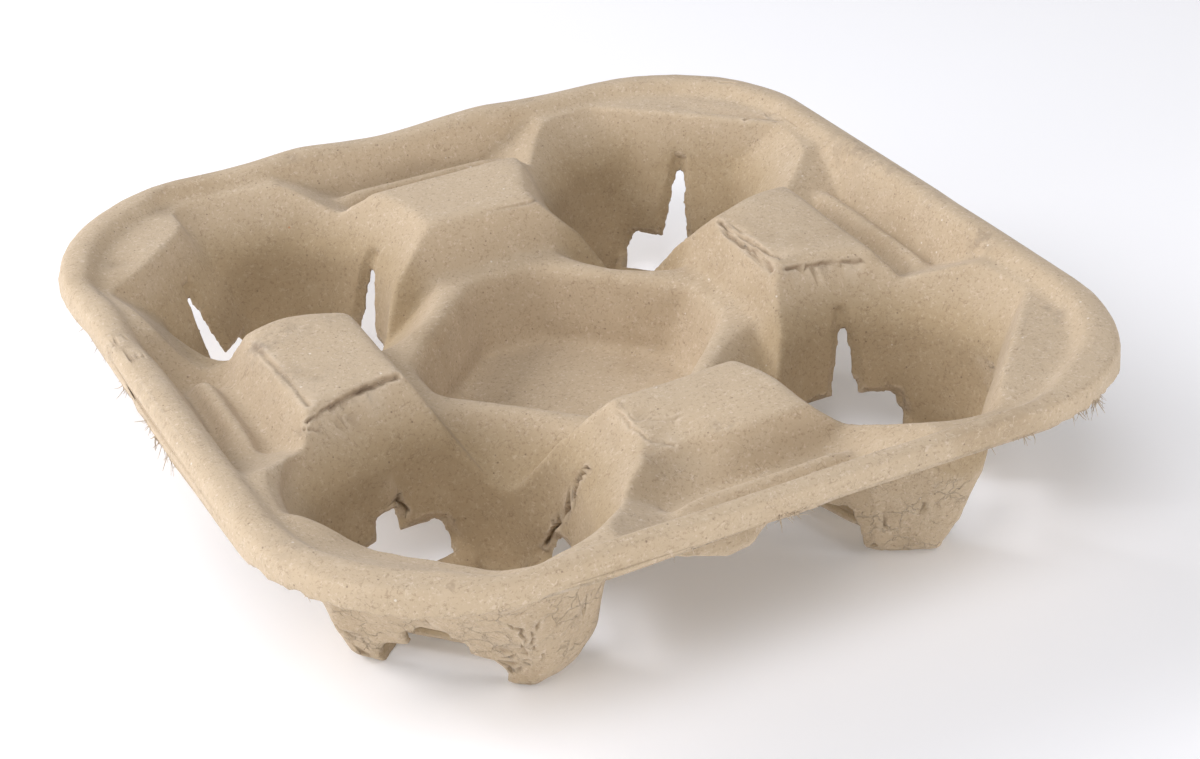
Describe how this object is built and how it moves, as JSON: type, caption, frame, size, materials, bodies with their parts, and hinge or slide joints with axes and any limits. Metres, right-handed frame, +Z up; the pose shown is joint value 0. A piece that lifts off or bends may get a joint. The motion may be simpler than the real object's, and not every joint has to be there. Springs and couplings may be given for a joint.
{
  "type": "moulded pulp cup carrier",
  "caption": "Square moulded-pulp drinks carrier with flared cup pockets slit down their walls, raised blocks between them, a sunk centre and a rolled rim.",
  "frame": {"origin": "middle of the tray in plan, on the surface its feet stand on", "axes": "+Z up, +X and +Y square to two neighbouring sides of the rim"},
  "size_m": [0.212, 0.212, 0.05],
  "materials": {
    "pulp": "dry, matt, fibrous moulded paper pulp with specks, smudges and frayed edges"
  },
  "bodies": {
    "root": {"tray": "pulp"}
  },
  "joints": []
}
